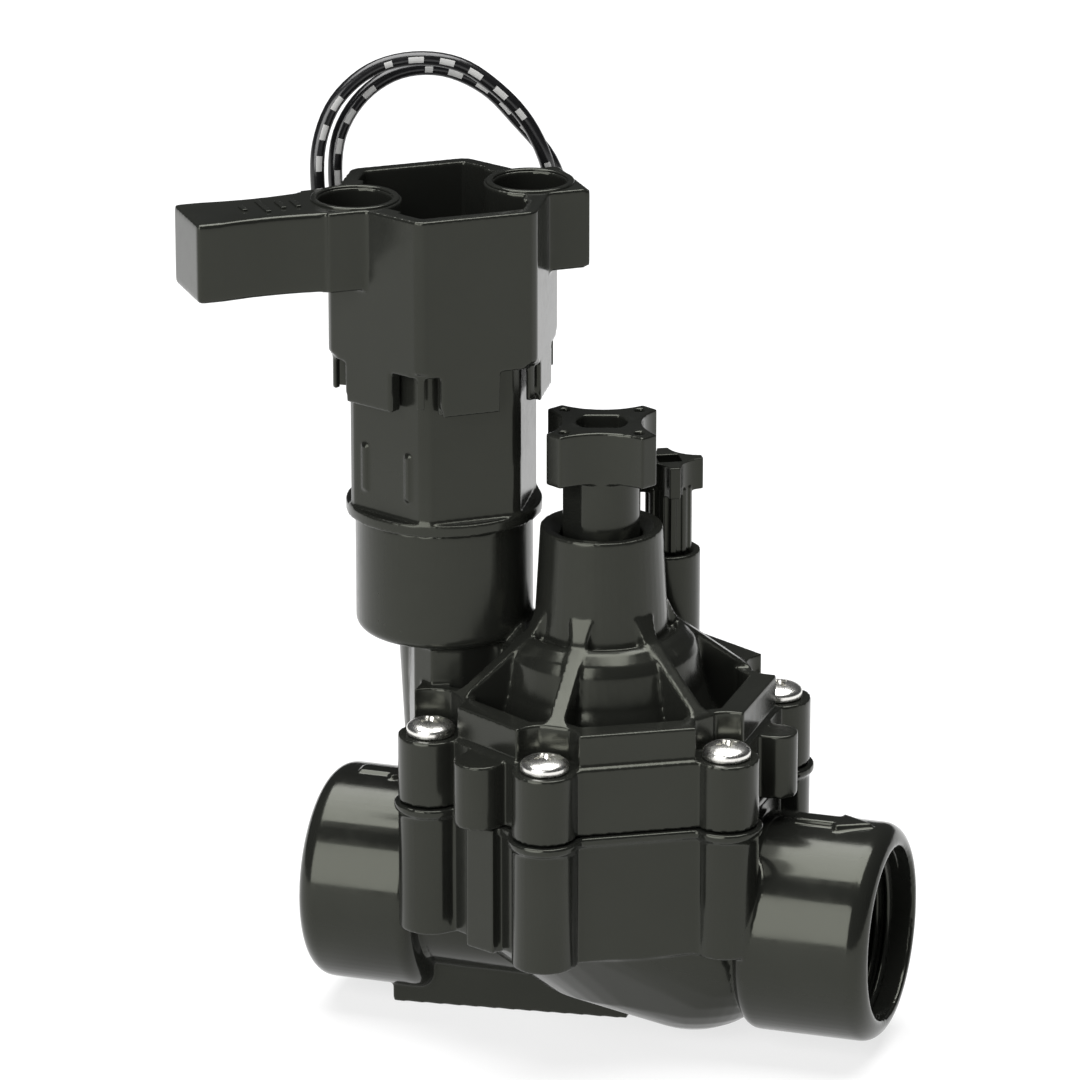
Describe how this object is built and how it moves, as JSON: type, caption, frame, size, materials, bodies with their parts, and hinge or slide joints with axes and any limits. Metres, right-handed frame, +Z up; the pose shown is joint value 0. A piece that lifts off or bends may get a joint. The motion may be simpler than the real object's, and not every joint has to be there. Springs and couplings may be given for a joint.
{
  "type": "zone valve",
  "caption": "Solenoid-operated diaphragm zone valve with threaded in-line ports, screwed bonnet, flow-control cross handle, bleed screw, lever sleeve and two wire leads.",
  "frame": {"origin": "the point of the flat base below the diaphragm axis", "axes": "+X along the ports from inlet to outlet, +Z up along the diaphragm axis, the solenoid stands on the -X side"},
  "size_m": [0.1385, 0.1118, 0.1909],
  "materials": {
    "moulded_black": "satin black glass-filled moulding",
    "bright_steel": "bright stainless",
    "rubber_black": "matt",
    "inner_plastic": "moulded grey acetal",
    "potting": "cast resin",
    "magnetic_steel": "turned",
    "bobbin_plastic": "natural nylon",
    "copper": "enamelled copper",
    "lead_insulation": "smooth insulation",
    "tie_plastic": "moulded nylon"
  },
  "bodies": {
    "valve": {"valve_body": "moulded_black", "bonnet": "moulded_black", "bonnet_screws": "bright_steel", "diaphragm": "rubber_black", "main_spring": "bright_steel", "lead_1_lower": "lead_insulation", "lead_2_lower": "lead_insulation", "lead_coil": "lead_insulation", "lead_tie": "tie_plastic"},
    "diaphragm_assembly": {"diaphragm_plate": "inner_plastic", "seat_washer": "rubber_black", "seat_guide": "inner_plastic", "diaphragm_screw": "bright_steel", "diaphragm_nut": "bright_steel", "metering_pin": "bright_steel"},
    "stem_carriage": {"stem_o_ring": "rubber_black"},
    "flow_control": {"flow_handle": "moulded_black", "flow_stem": "inner_plastic", "stem_clip": "bright_steel"},
    "bleed_carriage": {"bleed_o_ring": "rubber_black"},
    "bleed": {"bleed_screw": "moulded_black"},
    "solenoid": {"solenoid_housing": "moulded_black", "solenoid_cap": "potting", "coil_shell": "magnetic_steel", "bobbin": "bobbin_plastic", "coil_winding": "copper", "core_tube": "bright_steel", "fixed_core": "magnetic_steel", "shading_ring": "copper", "solenoid_o_ring": "rubber_black", "plunger_spring": "bright_steel", "lever_sleeve": "moulded_black", "lead_grommet": "rubber_black", "lead_1_upper": "lead_insulation", "lead_2_upper": "lead_insulation"},
    "plunger": {"plunger": "magnetic_steel", "plunger_seal": "rubber_black"}
  },
  "joints": [
    {"name": "diaphragm_lift", "type": "slide", "parent": "valve", "child": "diaphragm_assembly", "axis": [0, 0, 1], "range_m": [0, 0.006], "stiffness_N_per_m": 900, "springref_m": -0.008, "deforming": ["main_spring", "diaphragm"]},
    {"name": "stem_travel", "type": "slide", "parent": "valve", "child": "stem_carriage", "axis": [0, 0, 1], "range_m": [-0.008, 0]},
    {"name": "flow_turn", "type": "hinge", "parent": "stem_carriage", "child": "flow_control", "pos_m": [0, 0, 0.1], "axis": [0, 0, 1], "range_deg": [-1440, 0]},
    {"name": "bleed_travel", "type": "slide", "parent": "valve", "child": "bleed_carriage", "axis": [0, 0, 1], "range_m": [0, 0.00225]},
    {"name": "bleed_turn", "type": "hinge", "parent": "bleed_carriage", "child": "bleed", "pos_m": [0.00714, 0.02134, 0.09], "axis": [0, 0, 1], "range_deg": [0, 540]},
    {"name": "solenoid_turn", "type": "hinge", "parent": "valve", "child": "solenoid", "pos_m": [-0.0324, 0, 0.1], "axis": [0, 0, 1], "range_deg": [0, 90]},
    {"name": "plunger_lift", "type": "slide", "parent": "solenoid", "child": "plunger", "axis": [0, 0, 1], "range_m": [0, 0.0018], "stiffness_N_per_m": 150, "springref_m": -0.006, "deforming": ["plunger_spring"]}
  ],
  "couplings": [
    {"joint": "flow_turn", "follows": "stem_travel", "rad_per_m": 3141.6},
    {"joint": "bleed_turn", "follows": "bleed_travel", "rad_per_m": 4188.8}
  ]
}
